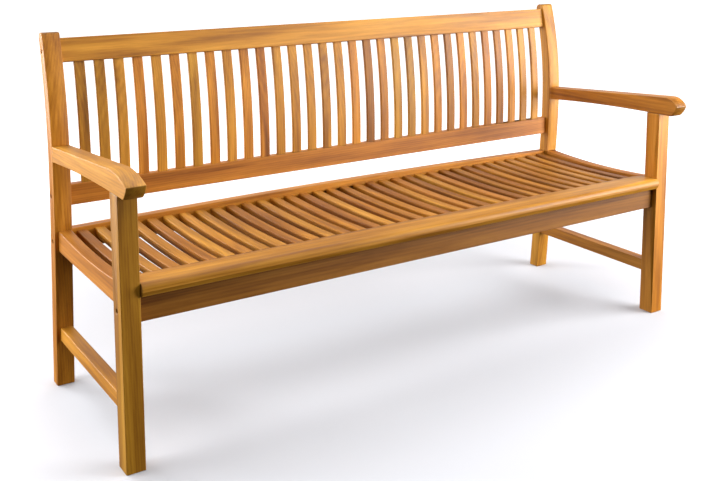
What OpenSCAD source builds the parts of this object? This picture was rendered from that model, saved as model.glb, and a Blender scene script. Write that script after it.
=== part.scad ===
// Slatted hardwood garden bench with curved back posts, arched armrests and a dished seat.
// Millimetres. X runs along the bench, the seat faces -Y, Z is up.
// The origin is on the ground, midway along the bench and midway between its front and back extremes.

/* [Overall] */
// Overall length across the two end frames
bench_l = 1800; // [1700:10:2000]
// Thickness along the bench of the legs, back posts and armrests
frame_w = 47; // [44:1:52]
// Height of the back posts
post_top_z = 965; // [955:1:985]

/* [Front legs and armrests] */
// Depth of a front leg
leg_d = 50; // [46:1:54]
// Distance of the front legs' front face from the middle of the depth
leg_front = 255; // [250:1:262]
// Distance of the left armrest's nose from the middle of the depth
arm_left_reach = 314.5; // [310:0.5:322]
// Distance of the right armrest's nose from the middle of the depth
arm_right_reach = 320.5; // [316:0.5:326]
// Radius that turns the left armrest's top down to its nose
arm_left_nose_r = 250; // [60:10:300]
// Radius that turns the right armrest's top down to its nose
arm_right_nose_r = 55; // [45:5:100]
// Height of the armrest's top where it meets the back post
arm_rear_z = 673; // [668:1:680]
// Height of the armrest's top over the back face of the front leg
arm_front_z = 706; // [700:1:710]
// Thickness of the armrest at the back post
arm_rear_t = 41; // [37:1:44]
// Rise of the armrest's hollowed underside above a straight line
arm_hollow = 6.5; // [4:0.5:8]

/* [Back posts] */
// Depth of a back post below its waist
post_d = 38; // [36:1:42]
// Front face of a back post at the ground, from the middle of the depth
foot_y = 282; // [278:1:284]
// Front face of a back post at its waist, where it bows furthest forward
waist_y = 238; // [234:1:242]
// Height of the waist
waist_z = 640; // [620:5:660]
// Radius of the post's front face below the waist
lower_r = 2250; // [2000:50:2600]
// Radius of the post's front face above the waist
upper_r = 1100; // [1000:20:1200]
// Radius of the post's rear face above the waist
upper_rear_r = 1200; // [1150:20:1300]

/* [Back rails and slats] */
// Height of the top rail
top_rail_h = 64; // [58:1:68]
// Thickness of the top rail
top_rail_t = 25; // [23:1:27]
// Height of the lower back rail
low_rail_h = 57; // [52:1:60]
// Thickness of the lower back rail
low_rail_t = 24; // [22:1:26]
// Number of back slats
back_slat_n = 31; // [31]
// Width of a back slat
back_slat_w = 29; // [24:0.5:36]
// Thickness of a back slat
back_slat_t = 10; // [8:0.5:12]
// Gap between an outermost back slat and its post
back_end_gap = 34; // [28:0.5:38]
// Radius of the back slats' curve
back_slat_r = 1500; // [1400:20:1700]

/* [Seat] */
// Height of the slats' top at the front end
seat_front_z = 434; // [430:0.5:438]
// Number of seat slats
seat_slat_n = 35; // [35]
// Width of a seat slat
seat_slat_w = 27.5; // [24:0.5:30]
// Thickness of a seat slat
seat_slat_t = 20; // [16:0.5:22]
// Gap between an outermost seat slat and the face of its leg
seat_end_gap = 14.8; // [12:0.1:18]
// Depth of the seat's dish
seat_dish = 5.5; // [4:0.5:8]
// Depth of the front nosing from front to back
nosing_d = 111; // [106:1:116]
// Radius of the nosing's crowned top
nosing_r = 310; // [290:5:340]
// Height of the front apron
apron_h = 65; // [60:1:70]
// Thickness of the front apron
apron_t = 26; // [24:1:28]
// Height of the back seat rail at its ends
seat_rail_h = 57; // [54:1:60]
// Rise of the back seat rail's top at mid length
seat_rail_crown = 9; // [5:1:12]

/* [End frame rails] */
// Thickness of the side seat rail and of the stretcher
side_rail_t = 33; // [30:1:35]
// Set-back of those rails from the outer face of the frame
side_recess = 11; // [9:1:12]
// Dish of the side seat rail's top edge
side_dish = 10; // [6:1:12]
// Underside height of the stretcher
stretcher_z = 131; // [110:1:150]
// Height of the stretcher
stretcher_h = 37; // [32:1:42]

/* [Hardware] */
// Diameter of the frame bolts
bolt_d = 6; // [6]
// Length of a frame bolt under its head
bolt_l = 70; // [66:1:75]
// Diameter of the hole that hides a bolt head
counterbore_d = 11; // [11:0.5:12]
// Diameter of the locating dowels
dowel_d = 8; // [8]

/* [Hidden] */
// Segment counts: true circles either way, fine enough for the long, shallow curves
big_fn = 720;
small_fn = 48;

// Sides of the bench: mirrored end frames
left = -1;
right = 1;
end_x = bench_l / 2;
span_x = end_x - frame_w;

// Joinery
tenon_t = 14;
side_tenon_l = 15;
stretcher_tenon_l = 20;
arm_tenon_w = 18;
arm_rear_tenon_l = 13;
arm_front_tenon_h = 20;
slat_tenon_l = 12;
slat_tenon_t = 8;
slat_shoulder = 3;
mortise_gap = 0.1;
mortise_end_gap = 1;
slat_edge_r = 3;

// Hardware sizes
bolt_clear_d = 7;
bolt_head_d = 10;
bolt_head_h = 6;
hex_key_af = 5;
hex_key_depth = 3;
counterbore_depth = 14;
nut_d = 10;
nut_l = 16;
nut_setback = 30;
nut_slot_depth = 3;
nut_slot_w = 1.2;
dowel_l = 30;
dowel_offset = 19;
seat_dowel_depth = 12;

// Back post: a straight foot that runs into the lower arc, then the upper arc
lower_c = [waist_y + lower_r, waist_z];
foot_dist = norm(lower_c - [foot_y, 0]);
foot_dir = atan2(-lower_c.y, foot_y - lower_c.x);
tangent_dir = foot_dir - acos(lower_r / foot_dist);
tangent_p = lower_c + lower_r * [cos(tangent_dir), sin(tangent_dir)];
upper_c = [waist_y + upper_r, waist_z];
upper_rear_c = [waist_y + post_d + upper_rear_r, waist_z];
post_top_front_r = 8;
post_top_rear_r = 14;

// Back rails and slats: the slats' curve is furthest forward at its vertex
back_slat_vertex = [waist_y + 20, 600];
back_slat_c = back_slat_vertex + [back_slat_r, 0];
top_rail_z = 887;
top_rail_tilt = asin((top_rail_z - back_slat_c.y) / back_slat_r);
top_rail_y = 277;
top_rail_mid = [
    top_rail_y + top_rail_t / 2 * cos(top_rail_tilt) + top_rail_h / 2 * sin(top_rail_tilt),
    top_rail_z - top_rail_t / 2 * sin(top_rail_tilt) + top_rail_h / 2 * cos(top_rail_tilt)
];
low_rail_y = 254;
low_rail_z = 506;
low_rail_top_z = low_rail_z + low_rail_h;
back_slat_pitch = (2 * (span_x - back_end_gap) - back_slat_w) / (back_slat_n - 1);
back_slat_low_z = low_rail_top_z - 12;
back_slat_high_z = top_rail_z + 9;

// Seat
nosing_overhang = 11;
nosing_y = -(leg_front + nosing_overhang);
nosing_back_y = nosing_y + nosing_d;
nosing_bottom_z = 415;
nosing_crown = [nosing_y + 23, 446.5];
nosing_front_r = 14;
nosing_undercut = [7, 13];
seat_rail_y = 256;
seat_rail_t = 28;
seat_rail_z = 385;
seat_rail_top_z = seat_rail_z + seat_rail_h;
seat_mid_y = (nosing_back_y + seat_rail_y) / 2;
seat_chord = seat_rail_y - nosing_back_y;
seat_r = pow(seat_chord, 2) / (8 * seat_dish) + seat_dish / 2;
seat_c = [seat_mid_y, seat_front_z - seat_dish + seat_r];
seat_slat_pitch = (2 * (span_x - seat_end_gap) - seat_slat_w) / (seat_slat_n - 1);
seat_group = 5;
seat_group_n = ceil(seat_slat_n / seat_group);
apron_setback = 16;
apron_y = apron_setback - leg_front;
apron_back_y = apron_y + apron_t;
apron_z = nosing_bottom_z - apron_h;
bearer_t = 30;
bearer_z = 375;
bearer_tenon_t = 12;
bearer_tenon_z = [bearer_z + 12, bearer_z + 30];
seat_bolt_z = 411;
crown_steps = 32;

// End frames
leg_back_y = leg_d - leg_front;
side_rail_z = 385;
side_rail_end_z = 443;
side_tenon_z = [side_rail_z + 10, side_rail_z + 44];
stretcher_shoulder = 6;
side_mid_y = (leg_back_y + post_front(side_rail_end_z)) / 2;
side_chord = post_front(side_rail_end_z) - leg_back_y;
side_r = pow(side_chord, 2) / (8 * side_dish) + side_dish / 2;
rail_x = -end_x + side_recess;

// Armrest: the top runs straight, then turns down to the sharp front edge of the nose.
// Below that edge the nose is undercut to the hollowed underside.
arm_top = [waist_y, arm_rear_z];
arm_top_run = [leg_back_y, arm_front_z] - arm_top;
arm_top_dir = arm_top_run / norm(arm_top_run);
arm_top_n = [arm_top_dir.y, -arm_top_dir.x];
arm_edge_z = 685.5;
arm_tip_in = 22.5;
arm_tip_z = 654;
arm_undercut = 3;
arm_shoulder = 9;
arm_blank_z = 560;

// Heights and depths of the four bolts on each side
bolt_at = [
    top_rail_mid,
    [low_rail_y + low_rail_t / 2, low_rail_z + low_rail_h / 2],
    [seat_rail_y + seat_rail_t / 2, seat_bolt_z],
    [apron_y + apron_t / 2, apron_z + apron_h / 2]
];
top_bolt = 0;
low_bolt = 1;
seat_bolt = 2;
apron_bolt = 3;
seat_dowel_n = 4;
seat_dowel_pitch = 400;

// How far an outline or a cut runs past the faces that trim it
spare = 20;

// Names
function two(i) = i < 10 ? str("0", i) : str(i);
function back_slat_name(i) = str("back_slat_", two(i));
function seat_group_name(i) = str("seat_slats_", two(i));

// ---- Helpers ----

// Centre of a circle of radius r whose arc joins a and b and bulges to the left of the way from a to b
function arc_centre(a, b, rise) =
    let (
        chord = norm(b - a),
        r = pow(chord, 2) / (8 * rise) + rise / 2,
        n = [a.y - b.y, b.x - a.x] / chord
    )
    (a + b) / 2 + n * (rise - r);

function arc_radius(a, b, rise) = pow(norm(b - a), 2) / (8 * rise) + rise / 2;

// Points of an arc about c from angle a0 to a1
function arc_points(c, r, a0, a1, n) =
    [for (i = [0 : n]) c + r * [cos(a0 + (a1 - a0) * i / n), sin(a0 + (a1 - a0) * i / n)]];

// Direction of the slats' tops at depth y
function seat_angle(y) = asin((y - seat_c.x) / seat_r);

function back_slat_x(i) = -(span_x - back_end_gap) + back_slat_w / 2 + (i - 1) * back_slat_pitch;
function seat_slat_x(i) = -(span_x - seat_end_gap) + seat_slat_w / 2 + (i - 1) * seat_slat_pitch;

// A 2D outline in Y and Z, extruded along X from x
module side_extrude(x, w) {
    translate([x, 0, 0])
        rotate([90, 0, 90])
            linear_extrude(w) children();
}

// The right end frame is the left one mirrored
module on_side(side) {
    if (side == left) children();
    else mirror([1, 0, 0]) children();
}

module box(lo, hi) {
    translate(lo) cube(hi - lo);
}

module rounded_bar(w, t, r) {
    translate([0, -w / 2 + r]) square([t, w - 2 * r]);
    translate([r, -w / 2]) square([t - 2 * r, w]);
    for (x = [r, t - r])
        for (y = [-w / 2 + r, w / 2 - r])
            translate([x, y]) circle(r, $fn = small_fn);
}

// ---- Back post ----

module z_band(z0, z1) {
    translate([0, z0]) square([bench_l / 3, z1 - z0]);
}

// Cuts one top corner of the post to a radius r: c is the radius' centre, s its tangent on the side face
module corner_cut(c, r, s, outward) {
    difference() {
        polygon([c, s, s + [outward * r, 0], [s.x + outward * r, c.y + 2 * r], [c.x, c.y + 2 * r]]);
        translate(c) circle(r, $fn = small_fn);
    }
}

module post_blank() {
    heel = tangent_p + [post_d, 0];
    polygon([[foot_y, 0], [foot_y + post_d, 0], heel, tangent_p]);
    intersection() {
        z_band(tangent_p.y, waist_z);
        difference() {
            translate(lower_c) circle(lower_r, $fn = big_fn);
            translate(lower_c + [post_d, 0]) circle(lower_r, $fn = big_fn);
        }
    }
    intersection() {
        z_band(waist_z, post_top_z);
        difference() {
            translate(upper_c) circle(upper_r, $fn = big_fn);
            translate(upper_rear_c) circle(upper_rear_r, $fn = big_fn);
        }
    }
}

module post_outline() {
    front_z = post_top_z - post_top_front_r;
    rear_z = post_top_z - post_top_rear_r;
    front_in = upper_r - post_top_front_r;
    rear_out = upper_rear_r + post_top_rear_r;
    front_c = [upper_c.x - sqrt(pow(front_in, 2) - pow(front_z - upper_c.y, 2)), front_z];
    rear_c = [upper_rear_c.x - sqrt(pow(rear_out, 2) - pow(rear_z - upper_rear_c.y, 2)), rear_z];
    front_s = front_c + post_top_front_r * (front_c - upper_c) / norm(front_c - upper_c);
    rear_s = rear_c + post_top_rear_r * (upper_rear_c - rear_c) / norm(upper_rear_c - rear_c);
    difference() {
        post_blank();
        corner_cut(front_c, post_top_front_r, front_s, -1);
        corner_cut(rear_c, post_top_rear_r, rear_s, 1);
    }
}

// Everything behind the post's front face, for fitting rails and armrests against it
module behind_post() {
    polygon([
        [foot_y, -spare],
        [foot_y, 0],
        tangent_p,
        tangent_p + [bench_l / 3, 0],
        [foot_y + bench_l / 3, -spare]
    ]);
    intersection() {
        z_band(tangent_p.y, waist_z);
        translate(lower_c) circle(lower_r, $fn = big_fn);
    }
    intersection() {
        z_band(waist_z, post_top_z);
        translate(upper_c) circle(upper_r, $fn = big_fn);
    }
}

// ---- Bolts and dowels on one side ----

module bolt_hole_in_frame(k) {
    translate([-end_x - 1, bolt_at[k].x, bolt_at[k].y]) rotate([0, 90, 0]) {
        cylinder(d = bolt_clear_d, h = frame_w + 2, $fn = small_fn);
        cylinder(d = counterbore_d, h = counterbore_depth + 1, $fn = small_fn);
    }
}

module bolt_hole_in_rail(k) {
    depth = bolt_l - frame_w + counterbore_depth + bolt_d;
    translate([-span_x - 1, bolt_at[k].x, bolt_at[k].y])
        rotate([0, 90, 0]) cylinder(d = bolt_clear_d, h = depth, $fn = small_fn);
}

// The locating dowels sit above and below the bolt, along the rail's own tilt
module dowel_places(k) {
    tilt = k == top_bolt ? top_rail_tilt : 0;
    for (s = [-1, 1])
        translate([0, bolt_at[k].x, bolt_at[k].y])
            rotate([-tilt, 0, 0])
                translate([-span_x, 0, s * dowel_offset]) rotate([0, 90, 0]) children();
}

module dowel_holes(k) {
    depth = dowel_l + 2 * mortise_end_gap;
    dowel_places(k) cylinder(d = dowel_d, h = depth, center = true, $fn = small_fn);
}

// A nut's seat is drilled from the rail's rear face, so it can't be seen from the front
module nut_seat(k) {
    translate([nut_setback - span_x, bolt_at[k].x - nut_l / 2, bolt_at[k].y])
        rotate([-90, 0, 0]) cylinder(d = nut_d, h = 2 * spare, $fn = small_fn);
}

module rail_fixings(k) {
    for (side = [left, right])
        on_side(side) {
            bolt_hole_in_rail(k);
            dowel_holes(k);
            nut_seat(k);
        }
}

// ---- Side rails and stretchers ----

module side_rail_outline() {
    difference() {
        polygon([
            [leg_back_y, side_rail_z],
            [foot_y + spare, side_rail_z],
            [foot_y + spare, side_rail_end_z],
            [leg_back_y, side_rail_end_z]
        ]);
        translate([side_mid_y, side_rail_end_z - side_dish + side_r]) circle(side_r, $fn = big_fn);
        behind_post();
    }
}

module side_tenons(z0, z1, l, gap) {
    x = rail_x + (side_rail_t - tenon_t) / 2;
    end = l + (gap > 0 ? mortise_end_gap : 0);
    box([x - gap, leg_back_y - end, z0 - gap], [x + tenon_t + gap, leg_back_y + 1, z1 + gap]);
    rear_y = post_front(z0);
    box([x - gap, rear_y - tenon_t / 2, z0 - gap], [x + tenon_t + gap, rear_y + end, z1 + gap]);
}

// Front face of the post at height z, on its straight foot or its lower arc
function post_front(z) =
    z < tangent_p.y
        ? foot_y + (tangent_p.x - foot_y) * z / tangent_p.y
        : lower_c.x - sqrt(pow(lower_r, 2) - pow(z - lower_c.y, 2));

module side_rail_tenons(gap) {
    side_tenons(side_tenon_z[0], side_tenon_z[1], side_tenon_l, gap);
}

module stretcher_tenons(gap) {
    z0 = stretcher_z + stretcher_shoulder;
    z1 = stretcher_z + stretcher_h - stretcher_shoulder;
    side_tenons(z0, z1, stretcher_tenon_l, gap);
}

// ---- Armrest ----

// Centre of the radius r that turns the top down through the nose's front edge
function arm_nose_centre(edge, r) =
    let (
        drop = (arm_top - edge) * arm_top_n,
        ahead = (edge - arm_top) * arm_top_dir,
        run = sqrt(2 * r * drop - pow(drop, 2))
    )
    arm_top + arm_top_dir * (ahead - run) - arm_top_n * r;

module arm_outline(side) {
    reach = side == left ? arm_left_reach : arm_right_reach;
    nose_r = side == left ? arm_left_nose_r : arm_right_nose_r;
    edge = [-reach, arm_edge_z];
    tip = [arm_tip_in - reach, arm_tip_z];
    low = [waist_y, arm_rear_z - arm_rear_t];
    nose_c = arm_nose_centre(edge, nose_r);
    turn = nose_c + arm_top_n * nose_r;
    difference() {
        union() {
            polygon([
                turn,
                arm_top - arm_top_dir * spare,
                [waist_y + spare, arm_blank_z],
                [turn.x, arm_blank_z]
            ]);
            intersection() {
                translate(nose_c) circle(nose_r, $fn = big_fn);
                union() {
                    translate(arc_centre(tip, edge, arm_undercut))
                        circle(arc_radius(tip, edge, arm_undercut), $fn = big_fn);
                    translate([tip.x, arm_blank_z])
                        square([turn.x - tip.x, arm_front_z + spare - arm_blank_z]);
                }
            }
        }
        translate(arc_centre(low, tip, -arm_hollow))
            circle(arc_radius(low, tip, arm_hollow), $fn = big_fn);
        behind_post();
    }
}

module arm_rear_tenon(gap) {
    x = -end_x + (frame_w - arm_tenon_w) / 2;
    end = arm_rear_tenon_l + (gap > 0 ? mortise_end_gap : 0);
    box(
        [x - gap, waist_y - arm_shoulder, arm_rear_z - arm_rear_t + arm_shoulder - gap],
        [x + arm_tenon_w + gap, waist_y + end, arm_rear_z - arm_shoulder + gap]
    );
}

module arm_front_tenon(gap) {
    x = -end_x + (frame_w - arm_tenon_w) / 2;
    end = arm_front_tenon_h + (gap > 0 ? mortise_end_gap : 0);
    box(
        [x - gap, arm_shoulder - leg_front - gap, arm_tip_z - spare],
        [x + arm_tenon_w + gap, leg_back_y - arm_shoulder + gap, arm_tip_z + end]
    );
}

// ---- One module per sub-part ----

module back_post(side) {
    color("peru") on_side(side) difference() {
        side_extrude(-end_x, frame_w) post_outline();
        side_rail_tenons(mortise_gap);
        stretcher_tenons(mortise_gap);
        arm_rear_tenon(mortise_gap);
        for (k = [top_bolt, low_bolt, seat_bolt]) {
            bolt_hole_in_frame(k);
            dowel_holes(k);
        }
    }
}

module front_leg(side) {
    color("peru") on_side(side) {
        difference() {
            side_extrude(-end_x, frame_w) difference() {
                translate([-leg_front, 0]) square([leg_d, arm_tip_z + spare / 2]);
                arm_outline(side);
            }
            side_rail_tenons(mortise_gap);
            stretcher_tenons(mortise_gap);
            bolt_hole_in_frame(apron_bolt);
            dowel_holes(apron_bolt);
        }
        arm_front_tenon(0);
    }
}

module armrest(side) {
    color("burlywood") on_side(side) {
        difference() {
            side_extrude(-end_x, frame_w) arm_outline(side);
            arm_front_tenon(mortise_gap);
        }
        arm_rear_tenon(0);
    }
}

module side_rail(side) {
    color("burlywood") on_side(side) {
        side_extrude(rail_x, side_rail_t) side_rail_outline();
        side_rail_tenons(0);
    }
}

module stretcher(side) {
    color("burlywood") on_side(side) {
        side_extrude(rail_x, side_rail_t) difference() {
            translate([leg_back_y, stretcher_z]) square([foot_y + spare - leg_back_y, stretcher_h]);
            behind_post();
        }
        stretcher_tenons(0);
    }
}

module back_slat_mortises() {
    for (i = [1 : back_slat_n])
        translate([back_slat_x(i) - back_slat_w / 2 - mortise_gap, 0, 0])
            side_extrude(0, back_slat_w + 2 * mortise_gap) intersection() {
                difference() {
                    translate(back_slat_c) circle(back_slat_r + mortise_gap, $fn = big_fn);
                    translate(back_slat_c) circle(back_slat_r - back_slat_t - mortise_gap, $fn = big_fn);
                }
                slat_end_band(mortise_end_gap);
            }
}

// The part of the back slats' arc between the ends of their two mortises
module slat_end_band(extra) {
    z_band(back_slat_low_z - extra, back_slat_high_z + extra);
}

module back_top_rail() {
    color("goldenrod") difference() {
        translate([0, top_rail_y, top_rail_z])
            rotate([-top_rail_tilt, 0, 0])
                box([-span_x, 0, 0], [span_x, top_rail_t, top_rail_h]);
        back_slat_mortises();
        rail_fixings(top_bolt);
    }
}

module back_lower_rail() {
    color("goldenrod") difference() {
        box([-span_x, low_rail_y, low_rail_z], [span_x, low_rail_y + low_rail_t, low_rail_top_z]);
        back_slat_mortises();
        rail_fixings(low_bolt);
    }
}

module back_slat(i) {
    top_a = asin((back_slat_high_z - back_slat_c.y) / back_slat_r);
    low_a = asin((back_slat_low_z - back_slat_c.y) / back_slat_r);
    color("sandybrown")
        translate([back_slat_x(i), back_slat_c.x, back_slat_c.y])
            rotate([90, 0, 90])
                rotate([0, 0, 180 - top_a])
                    rotate_extrude(angle = top_a - low_a, $fn = big_fn)
                        translate([back_slat_r - back_slat_t, 0])
                            rounded_bar(back_slat_w, back_slat_t, slat_edge_r);
}

module seat_slat_tenons(i, gap) {
    w = seat_slat_w / 2 - slat_shoulder + gap;
    l = slat_tenon_l + (gap > 0 ? mortise_end_gap : 0);
    x = seat_slat_x(i);
    front_z = seat_front_z - (seat_slat_t + slat_tenon_t) / 2;
    z0 = front_z - gap;
    z1 = front_z + slat_tenon_t + gap;
    box([x - w, nosing_back_y - l, z0], [x + w, nosing_back_y + slat_shoulder, z1]);
    box([x - w, seat_rail_y - slat_shoulder, z0], [x + w, seat_rail_y + l, z1]);
}

module seat_slat(i) {
    front_a = seat_angle(nosing_back_y) - 1;
    rear_a = seat_angle(seat_rail_y) + 1;
    intersection() {
        translate([seat_slat_x(i), seat_c.x, seat_c.y])
            rotate([90, 0, 90])
                rotate([0, 0, front_a - 90])
                    rotate_extrude(angle = rear_a - front_a, $fn = big_fn)
                        translate([seat_r, 0]) rounded_bar(seat_slat_w, seat_slat_t, slat_edge_r);
        box([-end_x, nosing_back_y, bearer_z], [end_x, seat_rail_y, arm_rear_z]);
    }
    seat_slat_tenons(i, 0);
}

module seat_slats(group) {
    first = (group - 1) * seat_group + 1;
    color("sandybrown")
        for (i = [first : min(first + seat_group - 1, seat_slat_n)]) seat_slat(i);
}

module seat_slat_mortises() {
    for (i = [1 : seat_slat_n]) seat_slat_tenons(i, mortise_gap);
}

module bearer_tenons(gap) {
    x = bearer_tenon_t / 2 + gap;
    end = slat_tenon_l + (gap > 0 ? mortise_end_gap : 0);
    z0 = bearer_tenon_z[0];
    z1 = bearer_tenon_z[1];
    box([-x, apron_back_y - end, z0 - gap], [x, apron_back_y + 1, z1 + gap]);
    box([-x, seat_rail_y - 1, z0 - gap], [x, seat_rail_y + end, z1 + gap]);
}

module back_seat_rail() {
    crown_a = [-span_x, seat_rail_top_z];
    crown_b = [span_x, seat_rail_top_z];
    crown_r = arc_radius(crown_a, crown_b, seat_rail_crown);
    crown_c = arc_centre(crown_a, crown_b, seat_rail_crown);
    crown_sweep = asin(span_x / crown_r);
    color("goldenrod") difference() {
        translate([0, seat_rail_y + seat_rail_t, 0]) rotate([90, 0, 0])
            linear_extrude(seat_rail_t) polygon(concat(
                [[-span_x, seat_rail_z], [span_x, seat_rail_z]],
                arc_points(crown_c, crown_r, 90 - crown_sweep, 90 + crown_sweep, crown_steps)
            ));
        seat_slat_mortises();
        bearer_tenons(mortise_gap);
        rail_fixings(seat_bolt);
    }
}

module seat_dowel_places() {
    for (i = [1 : seat_dowel_n])
        translate([
            (i - (seat_dowel_n + 1) / 2) * seat_dowel_pitch,
            apron_y + apron_t / 2,
            nosing_bottom_z + seat_dowel_depth
        ]) children();
}

module seat_dowel_holes() {
    seat_dowel_places()
        translate([0, 0, -dowel_l - mortise_end_gap])
            cylinder(d = dowel_d, h = dowel_l + 2 * mortise_end_gap, $fn = small_fn);
}

module front_apron() {
    color("sienna") difference() {
        box([-span_x, apron_y, apron_z], [span_x, apron_back_y, nosing_bottom_z]);
        bearer_tenons(mortise_gap);
        seat_dowel_holes();
        rail_fixings(apron_bolt);
    }
}

module nosing_outline() {
    front_c = [nosing_y + nosing_front_r, nosing_crown.y - nosing_front_r];
    top_z = nosing_crown.y + spare;
    intersection() {
        union() {
            polygon([
                [nosing_back_y, nosing_bottom_z],
                [nosing_back_y, top_z],
                [front_c.x, top_z],
                front_c,
                [nosing_y, front_c.y],
                [nosing_y, nosing_bottom_z + nosing_undercut.y],
                [nosing_y + nosing_undercut.x, nosing_bottom_z]
            ]);
            translate(front_c) circle(nosing_front_r, $fn = small_fn);
        }
        translate(nosing_crown - [0, nosing_r]) circle(nosing_r, $fn = big_fn);
    }
}

module seat_nosing() {
    color("gold") difference() {
        side_extrude(-span_x, 2 * span_x) nosing_outline();
        seat_slat_mortises();
        seat_dowel_holes();
    }
}

module centre_bearer() {
    color("burlywood") {
        side_extrude(-bearer_t / 2, bearer_t) intersection() {
            translate([apron_back_y, bearer_z])
                square([seat_rail_y - apron_back_y, nosing_bottom_z - bearer_z]);
            difference() {
                translate([-end_x, 0]) square([bench_l, nosing_bottom_z]);
                translate(seat_c) circle(seat_r + seat_slat_t, $fn = big_fn);
            }
        }
        bearer_tenons(0);
    }
}

module frame_bolts() {
    color("silver")
        for (side = [left, right])
            for (k = [0 : len(bolt_at) - 1])
                on_side(side)
                    translate([-end_x + counterbore_depth, bolt_at[k].x, bolt_at[k].y])
                        rotate([0, 90, 0]) frame_bolt();
}

module frame_bolt() {
    cylinder(d = bolt_d, h = bolt_l, $fn = small_fn);
    difference() {
        translate([0, 0, -bolt_head_h]) cylinder(d = bolt_head_d, h = bolt_head_h, $fn = small_fn);
        translate([0, 0, -bolt_head_h - 1])
            cylinder(d = hex_key_af / cos(30), h = hex_key_depth + 1, $fn = 6);
    }
}

module barrel_nuts() {
    color("silver")
        for (side = [left, right])
            for (k = [0 : len(bolt_at) - 1])
                on_side(side) barrel_nut(k);
}

module barrel_nut(k) {
    difference() {
        translate([nut_setback - span_x, bolt_at[k].x - nut_l / 2, bolt_at[k].y])
            rotate([-90, 0, 0]) cylinder(d = nut_d, h = nut_l, $fn = small_fn);
        translate([-span_x, bolt_at[k].x, bolt_at[k].y])
            rotate([0, 90, 0]) cylinder(d = bolt_d, h = 2 * nut_setback, $fn = small_fn);
        translate([
            nut_setback - span_x - nut_d,
            bolt_at[k].x + nut_l / 2 - nut_slot_depth,
            bolt_at[k].y - nut_slot_w / 2
        ]) cube([2 * nut_d, nut_slot_depth + 1, nut_slot_w]);
    }
}

module locating_dowels() {
    color("wheat") {
        for (side = [left, right])
            for (k = [0 : len(bolt_at) - 1])
                on_side(side)
                    dowel_places(k) cylinder(d = dowel_d, h = dowel_l, center = true, $fn = small_fn);
        seat_dowel_places() translate([0, 0, -dowel_l]) cylinder(d = dowel_d, h = dowel_l, $fn = small_fn);
    }
}

// ---- The parts ----

back_post(left);  // left_back_post
back_post(right);  // right_back_post
front_leg(left);  // left_front_leg
front_leg(right);  // right_front_leg
armrest(left);  // left_armrest
armrest(right);  // right_armrest
side_rail(left);  // left_side_rail
side_rail(right);  // right_side_rail
stretcher(left);  // left_stretcher
stretcher(right);  // right_stretcher
back_top_rail();
back_lower_rail();
back_seat_rail();
front_apron();
seat_nosing();
centre_bearer();
for (i = [1 : back_slat_n]) back_slat(i);
for (i = [1 : seat_group_n]) seat_slats(i);
frame_bolts();
barrel_nuts();
locating_dowels();
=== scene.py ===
"""The garden bench's looks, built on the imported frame.

Eased edges, teak and steel come first, then the studio's floor, world, lights and camera.
"""

import math
import random

import bpy
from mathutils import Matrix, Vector

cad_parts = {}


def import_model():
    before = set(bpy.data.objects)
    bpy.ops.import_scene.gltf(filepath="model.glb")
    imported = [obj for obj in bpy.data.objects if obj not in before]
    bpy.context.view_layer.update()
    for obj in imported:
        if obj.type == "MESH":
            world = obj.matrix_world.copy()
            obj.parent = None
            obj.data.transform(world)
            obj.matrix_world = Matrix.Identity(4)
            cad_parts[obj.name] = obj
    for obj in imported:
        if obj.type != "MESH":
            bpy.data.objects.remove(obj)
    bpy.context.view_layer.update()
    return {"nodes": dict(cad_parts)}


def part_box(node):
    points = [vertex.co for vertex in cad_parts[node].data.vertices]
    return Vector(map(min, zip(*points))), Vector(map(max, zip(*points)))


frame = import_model()
nodes = frame["nodes"]

# ---- Wood ----

# Sizes in metres
RING_SPACING = 0.0055
HEART_NEAR = 0.045
HEART_FAR = 0.11
EASED_EDGE = 0.0022
WEAR_AND_SHEEN_RADIUS = 0.003
PORE_DEPTH = 0.0006
SAME_POINT = 0.00002

# How far the rings wander, in ring spacings, and how far a timber leans from its tree's axis
RING_SWAY = 3.2
ASKEW = 0.02

# How much each part of the figure counts towards a place on GRAIN, and where their sum starts
RINGS_SHARE = 0.10
BROAD_SHARE = 1.20
STREAKS_SHARE = 0.80
PORES_SHARE = 0.20
GRAIN_START = -0.62

# Colours of the grain from the darkest streak to the palest
GRAIN = [
    (0.00, (0.130, 0.042, 0.002)),
    (0.30, (0.310, 0.112, 0.006)),
    (0.52, (0.460, 0.185, 0.012)),
    (0.75, (0.610, 0.270, 0.024)),
    (1.00, (0.760, 0.380, 0.060)),
]

# Tints that set timbers apart, each multiplied with the grain's colour
HONEY = (1.00, 1.00, 1.00)
PALE = (1.12, 1.15, 1.20)
AMBER = (1.04, 0.93, 0.80)
OLIVE = (0.86, 0.90, 0.72)
BROWN = (0.72, 0.62, 0.52)
ROSE = (0.90, 0.76, 0.78)
BACK_SLAT_TINTS = [HONEY, AMBER, OLIVE, BROWN, ROSE, HONEY, AMBER]
SEAT_SLAT_TINTS = [(0.1, BROWN), (0.35, ROSE), (0.5, HONEY), (0.7, AMBER), (0.9, PALE)]

# End grain, and lighter edges that are partly wear and partly painted highlight: their colours, how strongly
# each shows at most, and how fast the edge colour builds up
END_TINT = (0.42, 0.44, 0.26, 1.0)
END_MOST = 0.9
WEAR_AND_SHEEN_COLOUR = (0.86, 0.50, 0.20, 1.0)
WEAR_AND_SHEEN_GAIN = 2.0
WEAR_AND_SHEEN_MOST = 0.3

SLATS_IN_GROUP = 5


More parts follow.
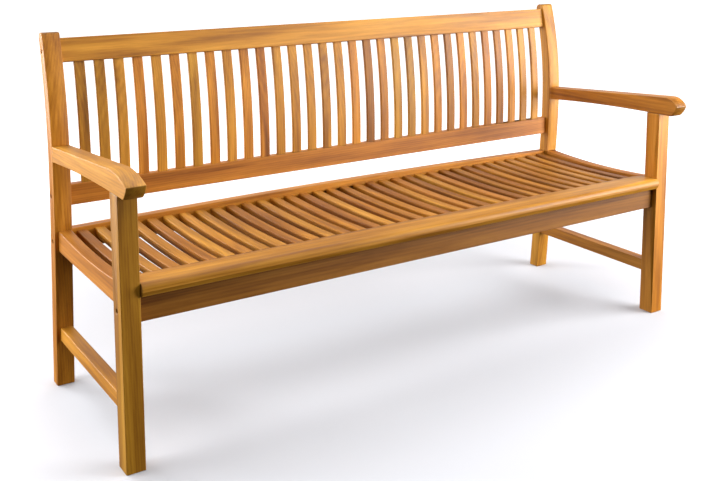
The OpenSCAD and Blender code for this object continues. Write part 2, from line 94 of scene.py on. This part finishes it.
class Graph:
    """Shorthand for one material's node tree."""

    def __init__(self, name):
        self.material = bpy.data.materials.new(name)
        self.material.use_nodes = True
        self.tree = self.material.node_tree
        self.tree.nodes.clear()

    def node(self, kind, inputs, **settings):
        made = self.tree.nodes.new("ShaderNode" + kind)
        for key, value in settings.items():
            setattr(made, key, value)
        for key, value in inputs.items():
            if isinstance(value, bpy.types.NodeSocket):
                self.tree.links.new(value, made.inputs[key])
            else:
                made.inputs[key].default_value = value
        return made

    def math(self, operation, a, b=0.0, c=0.0):
        return self.node("Math", {0: a, 1: b, 2: c}, operation=operation).outputs[0]

    def vector(self, operation, a, b=(0, 0, 0)):
        return self.node("VectorMath", {0: a, 1: b}, operation=operation).outputs["Vector"]

    def length(self, a):
        return self.node("VectorMath", {0: a}, operation="LENGTH").outputs["Value"]

    def noise(self, place, detail=2.0, roughness=0.5):
        inputs = {"Vector": place, "Scale": 1.0, "Detail": detail, "Roughness": roughness}
        return self.node("TexNoise", inputs).outputs["Fac"]

    def ramp(self, factor, stops):
        made = self.node("ValToRGB", {"Fac": factor})
        elements = made.color_ramp.elements
        while len(elements) < len(stops):
            elements.new(0.5)
        for element, (place, colour) in zip(elements, stops):
            element.position = place
            element.color = (*colour, 1.0)
        return made.outputs["Color"]

    def mix(self, blend, factor, a, b):
        inputs = {"Factor": factor, 6: a, 7: b}
        return self.node("Mix", inputs, data_type="RGBA", blend_type=blend).outputs[2]

    def xyz(self, x, y, z):
        return self.node("CombineXYZ", {"X": x, "Y": y, "Z": z}).outputs["Vector"]

    def split(self, place):
        return self.node("SeparateXYZ", {"Vector": place}).outputs


def timber_place(g, grain, centre, rng, slats):
    """The shading point from the timber's own centre, turned so that the grain runs along Z.

    slats is None, or (first slat's middle, pitch) along X where one node holds several slats: then each slat
    gets its own random shift. The second result is a random colour of the slat's own, or None.
    """
    place = g.node("TexCoord", {}).outputs["Object"]
    chance = None
    if slats:
        first, pitch = slats
        index = g.math("ROUND", g.math("DIVIDE", g.math("SUBTRACT", g.split(place)["X"], first), pitch))
        slat_x = g.math("MULTIPLY_ADD", index, pitch, first)
        place = g.vector("SUBTRACT", place, g.xyz(slat_x, centre.y, centre.z))
        seed = g.math("ADD", index, rng.uniform(3, 90))
        chance = g.node("TexWhiteNoise", {"W": seed}, noise_dimensions="1D").outputs["Color"]
    else:
        place = g.vector("SUBTRACT", place, tuple(centre))
    x, y, z = g.split(place)
    across, depth, along = {"X": (y, z, x), "Y": (x, z, y), "Z": (x, y, z)}[grain]
    return g.xyz(across, depth, along), chance


def heart(g, place, chance, rng):
    """The point seen from the tree's heart, which lies beside the timber and runs a little askew to it."""
    angle = rng.uniform(0, 2 * math.pi)
    far = rng.uniform(HEART_NEAR, HEART_FAR)
    shift = (far * math.cos(angle), far * math.sin(angle), rng.uniform(-4, 4))
    askew = (rng.uniform(-ASKEW, ASKEW), rng.uniform(-ASKEW, ASKEW), 0.0)
    along = g.split(place)["Z"]
    lean = g.vector("MULTIPLY", g.xyz(along, along, along), askew)
    place = g.vector("ADD", g.vector("ADD", place, lean), shift)
    if chance:
        extra = g.vector("MULTIPLY", chance, (0.07, 0.07, 9.0))
        place = g.vector("ADD", place, extra)
    return place


def teak(name, grain, tint, centre, slats=None, shade=1.0):
    """Oiled teak: growth rings, long streaks, fine pores, darker end grain, and lighter rounded edges that
    are partly wear and partly painted highlight.
    """
    rng = random.Random(name)
    g = Graph("teak_" + name)
    place, chance = timber_place(g, grain, centre, rng, slats)
    tree_place = heart(g, place, chance, rng)

    def stretched(across, along):
        return g.vector("MULTIPLY", tree_place, (across, across, along))

    sway = g.noise(stretched(9, 0.9), 2.0)
    radius = g.length(g.vector("MULTIPLY", tree_place, (1, 1, 0)))
    phase = g.math("MULTIPLY_ADD", sway, RING_SWAY, g.math("DIVIDE", radius, RING_SPACING))
    wave = g.math("SINE", g.math("MULTIPLY", phase, 2 * math.pi))
    rings = g.math("MULTIPLY_ADD", wave, 0.5, 0.5)
    broad = g.noise(stretched(26, 1.8), 3.0)
    streaks = g.noise(stretched(90, 3.5), 4.0, 0.65)
    pores = g.noise(stretched(800, 35), 2.0)

    factor = g.math("MULTIPLY_ADD", rings, RINGS_SHARE, GRAIN_START)
    factor = g.math("MULTIPLY_ADD", broad, BROAD_SHARE, factor)
    factor = g.math("MULTIPLY_ADD", streaks, STREAKS_SHARE, factor)
    factor = g.math("MULTIPLY_ADD", pores, PORES_SHARE, factor)
    colour = g.ramp(factor, GRAIN)
    colour = g.mix("MULTIPLY", 1.0, colour, (*[c * shade for c in tint], 1.0))
    if chance:
        pick = g.ramp(g.split(chance)["X"], SEAT_SLAT_TINTS)
        colour = g.mix("MULTIPLY", 1.0, colour, pick)

    facing = g.node("TexCoord", {}).outputs["Normal"]
    end = g.math("ABSOLUTE", g.split(facing)[grain])
    end = g.math("MULTIPLY", g.math("POWER", end, 2.0), END_MOST)
    colour = g.mix("MULTIPLY", end, colour, END_TINT)

    # Painted highlight with some wear: a paler colour mixed in along every rounded edge, broken up by the
    # streaks
    rounded = g.node("Bevel", {"Radius": WEAR_AND_SHEEN_RADIUS}, samples=4).outputs["Normal"]
    true_normal = g.node("NewGeometry", {}).outputs["Normal"]
    bend = g.node("VectorMath", {0: rounded, 1: true_normal}, operation="DOT_PRODUCT").outputs["Value"]
    wear_and_sheen = g.math("MULTIPLY", g.math("SUBTRACT", 1.0, bend), WEAR_AND_SHEEN_GAIN)
    wear_and_sheen = g.math("MINIMUM", g.math("MULTIPLY", wear_and_sheen, streaks), WEAR_AND_SHEEN_MOST)
    colour = g.mix("MIX", wear_and_sheen, colour, WEAR_AND_SHEEN_COLOUR)

    relief = g.math("MULTIPLY_ADD", pores, 0.6, g.math("MULTIPLY", streaks, 0.4))
    bump = g.node("Bump", {"Strength": 0.35, "Distance": PORE_DEPTH, "Height": relief}).outputs["Normal"]
    rough = g.math("MULTIPLY_ADD", streaks, 0.25, 0.36)
    surface = g.node("BsdfPrincipled", {
        "Base Color": colour,
        "Roughness": rough,
        "Normal": bump,
        "Specular IOR Level": 0.34,
    }).outputs["BSDF"]
    g.node("OutputMaterial", {"Surface": surface})
    return g.material


def steel():
    """Zinc-plated steel, a little cloudy, with faint brushed streaks."""
    g = Graph("steel")
    place = g.node("TexCoord", {}).outputs["Object"]
    cloud = g.noise(g.vector("MULTIPLY", place, (300, 300, 300)), 3.0)
    lines = g.noise(g.vector("MULTIPLY", place, (200, 3000, 3000)), 2.0)
    colour = g.ramp(cloud, [(0.3, (0.38, 0.37, 0.35)), (0.7, (0.62, 0.61, 0.58))])
    bump = g.node("Bump", {"Strength": 0.2, "Distance": 0.0002, "Height": lines}).outputs["Normal"]
    surface = g.node("BsdfPrincipled", {
        "Base Color": colour,
        "Metallic": 1.0,
        "Roughness": g.math("MULTIPLY_ADD", cloud, 0.25, 0.25),
        "Normal": bump,
    }).outputs["BSDF"]
    g.node("OutputMaterial", {"Surface": surface})
    return g.material


def paint(name, material):
    """The CAD node keeps its shape and takes this material."""
    mesh = nodes[name].data
    mesh.materials.clear()
    mesh.materials.append(material)


def ease(name, width):
    """Rounds the node's sharp edges, as a sander does. Flat faces are joined first, so they stay flat."""
    weld = nodes[name].modifiers.new("weld", "WELD")
    weld.merge_threshold = SAME_POINT
    flat = nodes[name].modifiers.new("flat", "DECIMATE")
    flat.decimate_type = "DISSOLVE"
    flat.angle_limit = math.radians(0.05)
    bevel = nodes[name].modifiers.new("ease", "BEVEL")
    bevel.width = width
    bevel.segments = 3
    bevel.limit_method = "ANGLE"
    bevel.angle_limit = math.radians(40)
    bevel.use_clamp_overlap = False
    bevel.harden_normals = True
    bevel.miter_outer = "MITER_ARC"


def middle(name):
    low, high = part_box(name)
    return (low + high) / 2


# ---- Which way the grain runs, and the tint and shade of each timber ----

TIMBERS = {
    "left_back_post": ("Z", AMBER, 0.92),
    "right_back_post": ("Z", HONEY, 1.05),
    "left_front_leg": ("Z", OLIVE, 0.92),
    "right_front_leg": ("Z", AMBER, 1.0),
    "left_armrest": ("Y", HONEY, 1.0),
    "right_armrest": ("Y", AMBER, 0.95),
    "left_side_rail": ("Y", ROSE, 0.88),
    "right_side_rail": ("Y", ROSE, 1.0),
    "left_stretcher": ("Y", HONEY, 1.0),
    "right_stretcher": ("Y", AMBER, 0.95),
    "back_top_rail": ("X", HONEY, 1.05),
    "back_lower_rail": ("X", ROSE, 1.0),
    "back_seat_rail": ("X", AMBER, 1.0),
    "front_apron": ("X", BROWN, 0.68),
    "seat_nosing": ("X", HONEY, 0.92),
    "centre_bearer": ("Y", BROWN, 1.0),
}
for name, (grain, tint, shade) in TIMBERS.items():
    paint(name, teak(name, grain, tint, middle(name), shade=shade))
    ease(name, EASED_EDGE)

back_slats = sorted(n for n in nodes if n.startswith("back_slat_"))
slat_tints = random.Random("back slats")
for name in back_slats:
    tint = slat_tints.choice(BACK_SLAT_TINTS)
    paint(name, teak(name, "Z", tint, middle(name), shade=slat_tints.uniform(0.88, 1.12)))

seat_groups = sorted(n for n in nodes if n.startswith("seat_slats_"))
group_pitch = middle(seat_groups[1]).x - middle(seat_groups[0]).x
seat_pitch = group_pitch / SLATS_IN_GROUP
first_slat = middle(seat_groups[0]).x - seat_pitch * (SLATS_IN_GROUP - 1) / 2
for name in seat_groups:
    paint(name, teak(name, "Y", HONEY, middle(name), slats=(first_slat, seat_pitch), shade=0.9))

metal = steel()
for name in ("frame_bolts", "barrel_nuts"):
    paint(name, metal)
paint("locating_dowels", teak("locating_dowels", "X", PALE, middle("locating_dowels")))


# ---- Studio ----

def floor():
    """A pale floor that glows white away from the bench, but neither lights it nor shows in its gloss."""
    mesh = bpy.data.meshes.new("floor")
    half = 40.0
    corners = [(-half, -half, 0), (half, -half, 0), (half, half, 0), (-half, half, 0)]
    mesh.from_pydata(corners, [], [(0, 1, 2, 3)])
    g = Graph("floor")
    far = g.length(g.node("TexCoord", {}).outputs["Object"])
    glow = {"Value": far, "From Min": 0.9, "From Max": 2.9, "To Min": 0.0, "To Max": 1.00}
    surface = g.node("BsdfPrincipled", {
        "Base Color": (0.64, 0.645, 0.68, 1.0),
        "Roughness": 0.9,
        "Specular IOR Level": 0.2,
        "Emission Color": (1.0, 1.0, 1.0, 1.0),
        "Emission Strength": g.node("MapRange", glow, interpolation_type="SMOOTHSTEP").outputs["Result"],
    }).outputs["BSDF"]
    g.node("OutputMaterial", {"Surface": surface})
    mesh.materials.append(g.material)
    made = bpy.data.objects.new("floor", mesh)
    made.visible_diffuse = False
    made.visible_glossy = False
    bpy.context.scene.collection.objects.link(made)


def area_light(name, place, target, size, watts):
    """A white rectangular light at place, turned towards target, unseen by the camera."""
    data = bpy.data.lights.new(name, "AREA")
    data.shape = "RECTANGLE"
    data.size, data.size_y = size
    data.energy = watts
    made = bpy.data.objects.new(name, data)
    made.location = place
    made.rotation_mode = "QUATERNION"
    made.rotation_quaternion = (Vector(target) - Vector(place)).to_track_quat("-Z", "Y")
    made.visible_camera = False
    bpy.context.scene.collection.objects.link(made)


def world():
    """A white studio behind the bench, and a dim room in front of it and below it."""
    made = bpy.data.worlds.new("studio")
    made.use_nodes = True
    tree = made.node_tree
    place = tree.nodes.new("ShaderNodeTexCoord")
    split = tree.nodes.new("ShaderNodeSeparateXYZ")
    tree.links.new(place.outputs["Generated"], split.inputs["Vector"])
    parts = []
    for axis, low, high, dim in (("Y", 0.10, 0.50, 0.06), ("Z", -0.15, 0.0, 0.25)):
        part = tree.nodes.new("ShaderNodeMapRange")
        part.interpolation_type = "SMOOTHSTEP"
        for key, value in {"From Min": low, "From Max": high, "To Min": dim, "To Max": 1.0}.items():
            part.inputs[key].default_value = value
        tree.links.new(split.outputs[axis], part.inputs["Value"])
        parts.append(part.outputs["Result"])
    both = tree.nodes.new("ShaderNodeMath")
    both.operation = "MULTIPLY"
    for i, part in enumerate(parts):
        tree.links.new(part, both.inputs[i])
    background = tree.nodes["Background"]
    background.inputs["Color"].default_value = (1, 1, 1, 1)
    tree.links.new(both.outputs[0], background.inputs["Strength"])
    bpy.context.scene.world = made


def camera():
    """Stands at the bench's left front and looks a little down. The shift frames the bench from there."""
    down = 7.9
    turned = 33.4
    data = bpy.data.cameras.new("camera")
    data.sensor_width = 36.0
    data.lens = 49.64
    data.shift_x = -0.0112
    data.shift_y = -0.2422
    data.clip_end = 200.0
    made = bpy.data.objects.new("camera", data)
    made.location = (-1.6034, -2.3225, 1.2360)
    made.rotation_euler = (math.radians(90 - down), 0.0, math.radians(-turned))
    bpy.context.scene.collection.objects.link(made)
    bpy.context.scene.camera = made


floor()
world()
area_light("key_right", (2.5, -1.7, 1.0), (0.7, 0.0, 0.5), (2.2, 1.7), 165)
area_light("top_front", (-0.4, -1.3, 2.5), (-0.2, 0.0, 0.5), (3.0, 1.2), 31)
area_light("overhead", (0.0, 0.9, 3.0), (0.0, 0.0, 0.4), (4.0, 2.0), 45)
area_light("side_left", (-2.6, 0.5, 0.7), (-0.9, 0.0, 0.35), (1.4, 1.2), 44)
area_light("rim_left", (-2.3, 2.8, 1.3), (-0.9, 0.2, 0.5), (1.4, 2.0), 75)
camera()

bpy.context.scene.view_settings.view_transform = "Standard"
bpy.context.scene.view_settings.look = "None"
